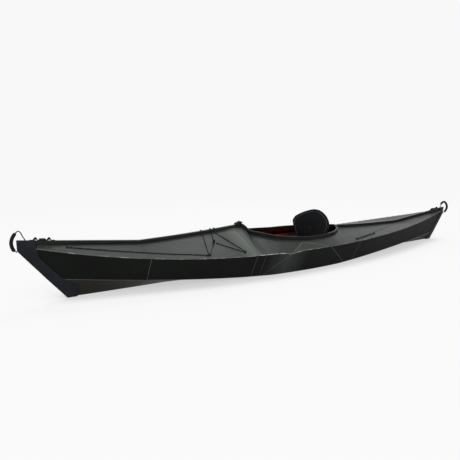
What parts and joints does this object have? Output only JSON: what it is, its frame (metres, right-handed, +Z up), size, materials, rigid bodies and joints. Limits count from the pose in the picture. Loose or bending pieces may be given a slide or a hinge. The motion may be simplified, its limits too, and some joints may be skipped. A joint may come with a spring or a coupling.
{
  "type": "folding kayak",
  "caption": "Folding sit-in kayak made of a creased plastic sheet, with seam channels, cockpit rim, end fairings, seat with folding backrest, deck cords and grab handles.",
  "frame": {"origin": "on the floor, under the middle of the flat part of the hull bottom", "axes": "+X along the hull towards the bow, +Y to port, +Z up"},
  "size_m": [3.8747, 0.6348, 0.4103],
  "materials": {
    "deck_sheet": "satin",
    "side_sheet": "satin",
    "bottom_sheet": "satin",
    "channel_plastic": "satin",
    "rim_plastic": "satin",
    "fairing_skin": "textured",
    "floor_sheet": "satin",
    "moulded_plastic": "fine grain",
    "pad_fabric": "woven",
    "webbing": "woven",
    "cord": "braided",
    "rod_metal": "anodised"
  },
  "bodies": {
    "hull": {"bow_bottom_panel": "bottom_sheet", "fore_bottom_panel": "bottom_sheet", "mid_bottom_panel": "bottom_sheet", "aft_bottom_panel": "bottom_sheet", "stern_bottom_panel": "bottom_sheet", "bow_side_panel_port": "side_sheet", "bow_side_panel_starboard": "side_sheet", "fore_side_panel_port": "side_sheet", "fore_side_panel_starboard": "side_sheet", "side_gusset_port": "side_sheet", "side_gusset_starboard": "side_sheet", "aft_side_panel_port": "side_sheet", "aft_side_panel_starboard": "side_sheet", "stern_side_panel_port": "side_sheet", "stern_side_panel_starboard": "side_sheet", "bow_deck_panel_port": "deck_sheet", "bow_deck_panel_starboard": "deck_sheet", "fore_deck_panel_port": "deck_sheet", "fore_deck_panel_starboard": "deck_sheet", "cockpit_deck_panel_port": "deck_sheet", "cockpit_deck_panel_starboard": "deck_sheet", "aft_deck_panel_port": "deck_sheet", "aft_deck_panel_starboard": "deck_sheet", "stern_deck_panel_port": "deck_sheet", "stern_deck_panel_starboard": "deck_sheet", "fore_seam_channel": "channel_plastic", "aft_seam_channel": "channel_plastic", "coaming_port": "rim_plastic", "coaming_starboard": "rim_plastic", "coaming_clip": "rim_plastic", "bow_fairing": "fairing_skin", "stern_fairing": "fairing_skin", "bow_fairing_strap": "webbing", "stern_fairing_strap": "webbing", "backrest_strap_port": "webbing", "backrest_strap_starboard": "webbing", "foot_brace_strap_port": "webbing", "foot_brace_strap_starboard": "webbing", "bow_fairing_buckle": "moulded_plastic", "stern_fairing_buckle": "moulded_plastic", "seat_pan": "moulded_plastic", "cord_lock_body": "moulded_plastic", "front_bulkhead": "side_sheet", "rear_bulkhead": "side_sheet", "floorboard": "floor_sheet", "seat_pad": "pad_fabric", "backrest_hinge_rod": "rod_metal", "foredeck_bungee_fore": "cord", "foredeck_bungee_aft": "cord", "foredeck_side_line_port": "cord", "foredeck_side_line_starboard": "cord", "aft_deck_cord_port": "cord", "aft_deck_cord_starboard": "cord"},
    "backrest": {"backrest_shell": "moulded_plastic", "backrest_pad": "pad_fabric"},
    "foot_brace": {"foot_brace_bar": "rod_metal"},
    "bow_handle": {"bow_handle": "cord"},
    "stern_handle": {"stern_handle": "cord"},
    "cord_lock_button": {"cord_lock_button": "moulded_plastic"}
  },
  "joints": [
    {"name": "backrest_fold", "type": "hinge", "parent": "hull", "child": "backrest", "pos_m": [-0.212, 0, 0.07], "axis": [0, 1, 0], "range_deg": [0, 60], "deforming": ["backrest_strap_port", "backrest_strap_starboard"]},
    {"name": "foot_brace_reach", "type": "slide", "parent": "hull", "child": "foot_brace", "axis": [1, 0, 0], "range_m": [-0.1, 0.1], "deforming": ["foot_brace_strap_port", "foot_brace_strap_starboard"]},
    {"name": "bow_handle_swing", "type": "hinge", "parent": "hull", "child": "bow_handle", "pos_m": [1.87245, 0, 0.298], "axis": [-0.5818, 0, 0.8134], "range_deg": [-60, 60], "stiffness_Nm_per_rad": 0.1},
    {"name": "stern_handle_swing", "type": "hinge", "parent": "hull", "child": "stern_handle", "pos_m": [-1.90405, 0, 0.24], "axis": [0.7056, 0, 0.7086], "range_deg": [-60, 60], "stiffness_Nm_per_rad": 0.1},
    {"name": "cord_lock_press", "type": "slide", "parent": "hull", "child": "cord_lock_button", "axis": [-0.0538, -0.3798, -0.9235], "range_m": [0, 0.003], "stiffness_N_per_m": 300}
  ]
}
